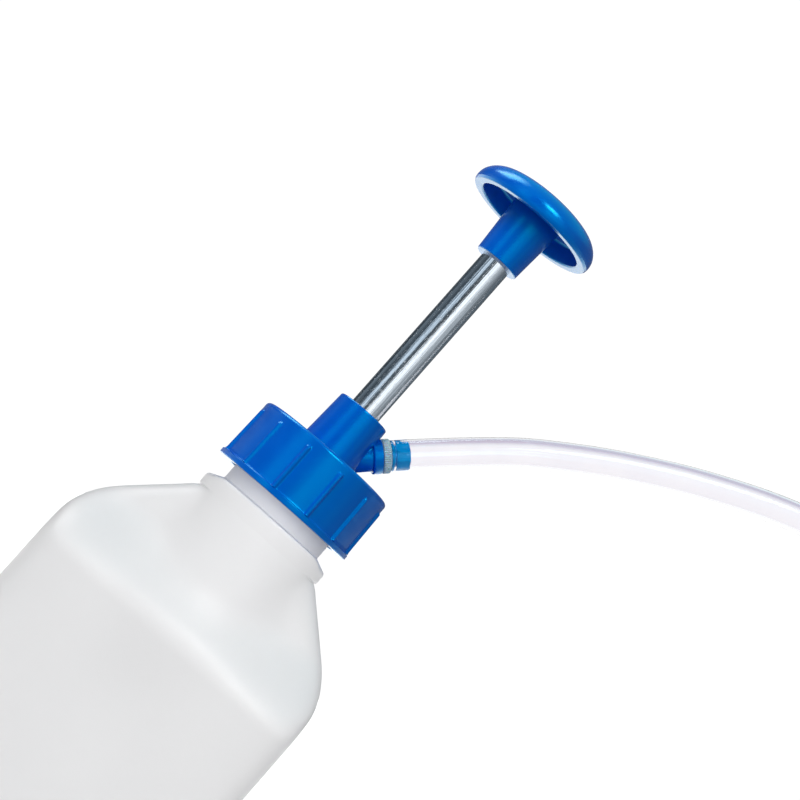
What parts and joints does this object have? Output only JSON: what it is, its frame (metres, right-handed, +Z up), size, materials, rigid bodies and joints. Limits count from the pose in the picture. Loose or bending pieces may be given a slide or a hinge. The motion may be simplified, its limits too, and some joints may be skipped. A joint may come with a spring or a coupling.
{
  "type": "fluid transfer pump",
  "caption": "Hand-operated lift pump in a screw cap on an oblong translucent bottle, with a chromed pull rod, a mushroom handle and a clear hose from a side outlet.",
  "frame": {"origin": "centre of the bottle's base, on the pump's axis", "axes": "+Z up along the pump's axis, +X to the side that the hose leaves on, -Y the front"},
  "size_m": [0.3888, 0.1816, 0.422],
  "materials": {
    "bottle_plastic": "milky translucent, satin",
    "blue_plastic": "glossy moulded",
    "black_rubber": "smooth",
    "white_plastic": "smooth moulded",
    "black_plastic": "satin",
    "rod_chrome": "polished plating",
    "ball_steel": "ground",
    "frosted_plastic": "translucent, finely ribbed",
    "clear_hose": "clear flexible PVC"
  },
  "bodies": {
    "bottle_body": {"bottle": "bottle_plastic"},
    "head": {"pump_head": "blue_plastic", "cap_gasket": "black_rubber", "rod_bush": "white_plastic", "rod_seal": "black_rubber", "rod_wiper": "black_rubber", "barrel": "white_plastic", "barrel_gasket": "black_rubber", "foot_valve_body": "white_plastic", "ball_cage": "white_plastic", "suction_tube": "white_plastic", "strainer": "white_plastic", "outlet_fitting": "blue_plastic", "hose_barb": "blue_plastic", "hose": "clear_hose", "hose_coil": "clear_hose", "hose_tie": "black_plastic"},
    "cap_body": {"cap": "blue_plastic"},
    "plunger_seals": {"piston_seal_upper": "black_rubber", "piston_seal_lower": "black_rubber"},
    "plunger": {"handle": "blue_plastic", "rod_tube": "rod_chrome", "rod_stud": "ball_steel", "rod_plug": "ball_steel", "piston": "white_plastic", "piston_seat": "white_plastic"},
    "piston_ball_body": {"piston_ball": "ball_steel"},
    "inlet_ball_body": {"inlet_ball": "ball_steel"},
    "hose_nut_body": {"hose_nut": "frosted_plastic"}
  },
  "joints": [
    {"name": "head_lift", "type": "slide", "parent": "bottle_body", "child": "head", "axis": [0, 0, 1], "range_m": [0, 0.0075]},
    {"name": "cap_turn", "type": "hinge", "parent": "head", "child": "cap_body", "pos_m": [0, 0, 0.24], "axis": [0, 0, 1], "range_deg": [0, 450]},
    {"name": "plunger_slide", "type": "slide", "parent": "head", "child": "plunger_seals", "axis": [0, 0, -1], "range_m": [0, 0.088]},
    {"name": "plunger_turn", "type": "hinge", "parent": "plunger_seals", "child": "plunger", "pos_m": [0, 0, 0.3], "axis": [0, 0, 1], "continuous": true},
    {"name": "piston_ball_lift", "type": "slide", "parent": "plunger", "child": "piston_ball_body", "axis": [0, 0, 1], "range_m": [0, 0.005]},
    {"name": "inlet_ball_lift", "type": "slide", "parent": "head", "child": "inlet_ball_body", "axis": [0, 0, 1], "range_m": [0, 0.005]},
    {"name": "hose_nut_turn", "type": "hinge", "parent": "head", "child": "hose_nut_body", "pos_m": [0, 0, 0.257], "axis": [0.7081, 0.13, 0.6941], "continuous": true}
  ],
  "couplings": [
    {"joint": "cap_turn", "follows": "head_lift", "rad_per_m": 1047.2}
  ]
}
